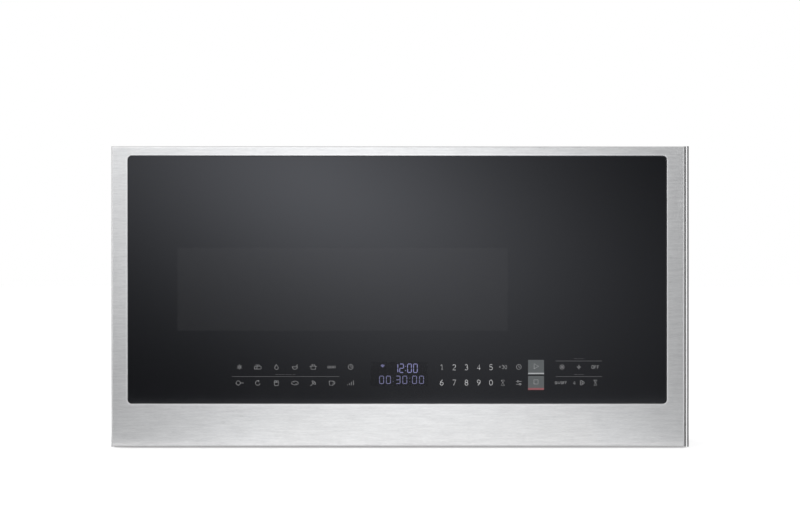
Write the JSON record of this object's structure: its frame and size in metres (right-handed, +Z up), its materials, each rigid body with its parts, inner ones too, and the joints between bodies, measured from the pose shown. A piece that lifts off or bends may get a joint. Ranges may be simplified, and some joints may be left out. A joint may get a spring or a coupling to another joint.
{
  "type": "over the range microwave oven",
  "caption": "Wide microwave oven that mounts above a range: steel-framed dark glass door with touch controls and a pocket handle, turntable cavity, cooktop blower and filters.",
  "frame": {"origin": "underside of the case, in the middle of the whole width and depth", "axes": "+X to the right of someone facing the door, +Y back to the wall, +Z up"},
  "size_m": [0.759, 0.42, 0.398],
  "materials": {
    "stainless_steel": "horizontal brushed grain",
    "dark_glass": "gloss, back-painted black, faint window",
    "handle_aluminium": "satin, drawn along its length",
    "black_plastic": "fine moulded grain",
    "white_plastic": "satin",
    "case_paint": "fine textured powder coat",
    "zinc_steel": "galvanised, dull spangle",
    "cavity_paint": "smooth grey enamel",
    "tray_glass": "clear pressed glass",
    "window_pane": "clear film",
    "lamp_lens": "frosted",
    "mica": "flaky mica sheet",
    "copper_winding": "enamelled wire",
    "core_steel": "stacked laminations",
    "aluminium": "mill finish",
    "circuit_board": "solder mask",
    "charcoal": "granular pad",
    "spring_steel": "bright drawn wire"
  },
  "bodies": {
    "cabinet": {"outer_cover": "case_paint", "back_plate": "zinc_steel", "base_plate": "case_paint", "bay_floor": "zinc_steel", "front_frame": "case_paint", "cord_bushing": "black_plastic", "grease_filter_left": "aluminium", "grease_filter_right": "aluminium", "cooktop_lamp_left": "lamp_lens", "cooktop_lamp_right": "lamp_lens", "vent_grille": "black_plastic", "charcoal_filter": "charcoal", "oven_cavity": "cavity_paint", "cavity_lamp": "white_plastic", "waveguide": "zinc_steel", "waveguide_cover": "mica", "magnetron": "aluminium", "transformer_core": "core_steel", "primary_coil": "copper_winding", "secondary_coil": "copper_winding", "capacitor": "aluminium", "power_board": "circuit_board", "cooling_fan_housing": "black_plastic", "cooling_fan_motor": "core_steel", "blower_housing": "zinc_steel", "blower_motor": "zinc_steel", "latch_board": "white_plastic", "primary_switch": "black_plastic", "secondary_switch": "black_plastic", "monitor_switch": "black_plastic", "upper_hinge": "zinc_steel", "lower_hinge": "zinc_steel", "turntable_motor": "zinc_steel"},
    "door": {"door_outer_panel": "stainless_steel", "door_glass": "dark_glass", "handle_trim": "handle_aluminium", "handle_cap_top": "black_plastic", "handle_cap_bottom": "black_plastic", "door_carrier": "black_plastic", "door_frame": "case_paint", "window_screen": "case_paint", "inner_window": "window_pane", "choke_cover": "black_plastic", "touch_board": "circuit_board", "display_module": "black_plastic", "upper_hinge_bushing": "white_plastic", "lower_hinge_bushing": "white_plastic"},
    "latch": {"door_latch": "white_plastic", "latch_spring": "spring_steel"},
    "turntable": {"glass_tray": "tray_glass", "turntable_coupler": "white_plastic", "drive_shaft": "spring_steel"},
    "roller_ring": {"roller_ring": "white_plastic"},
    "roller_1": {"roller_1": "white_plastic"},
    "roller_2": {"roller_2": "white_plastic"},
    "roller_3": {"roller_3": "white_plastic"},
    "cooling_fan": {"cooling_fan_blade": "black_plastic"},
    "blower_rotor": {"blower_shaft": "spring_steel", "blower_wheel_left": "black_plastic", "blower_wheel_right": "black_plastic"}
  },
  "joints": [
    {"name": "door_hinge", "type": "hinge", "parent": "cabinet", "child": "door", "pos_m": [-0.371, -0.174, 0.2], "axis": [0, 0, -1], "range_deg": [0, 110]},
    {"name": "latch_lift", "type": "slide", "parent": "door", "child": "latch", "axis": [0, 0, 1], "range_m": [0, 0.004], "stiffness_N_per_m": 400, "springref_m": -0.006, "deforming": ["latch_spring"]},
    {"name": "turntable_spin", "type": "hinge", "parent": "cabinet", "child": "turntable", "pos_m": [-0.0755, 0.01715, 0.06], "axis": [0, 0, 1], "continuous": true},
    {"name": "roller_ring_spin", "type": "hinge", "parent": "cabinet", "child": "roller_ring", "pos_m": [-0.0755, 0.01715, 0.0523], "axis": [0, 0, 1], "continuous": true},
    {"name": "roller_1_spin", "type": "hinge", "parent": "roller_ring", "child": "roller_1", "pos_m": [0.017, 0.01715, 0.0523], "axis": [1, 0, 0], "continuous": true},
    {"name": "roller_2_spin", "type": "hinge", "parent": "roller_ring", "child": "roller_2", "pos_m": [-0.12175, 0.09726, 0.0523], "axis": [-0.5, 0.866, 0], "continuous": true},
    {"name": "roller_3_spin", "type": "hinge", "parent": "roller_ring", "child": "roller_3", "pos_m": [-0.12175, -0.06296, 0.0523], "axis": [-0.5, -0.866, 0], "continuous": true},
    {"name": "cooling_fan_spin", "type": "hinge", "parent": "cabinet", "child": "cooling_fan", "pos_m": [0.286, 0.147, 0.23], "axis": [0, 1, 0], "continuous": true},
    {"name": "blower_spin", "type": "hinge", "parent": "cabinet", "child": "blower_rotor", "pos_m": [0, 0.1497, 0.34505], "axis": [1, 0, 0], "continuous": true}
  ],
  "couplings": [
    {"joint": "roller_ring_spin", "follows": "turntable_spin", "ratio": 0.5},
    {"joint": "roller_1_spin", "follows": "turntable_spin", "ratio": -5.7812},
    {"joint": "roller_2_spin", "follows": "turntable_spin", "ratio": -5.7812},
    {"joint": "roller_3_spin", "follows": "turntable_spin", "ratio": -5.7812}
  ]
}
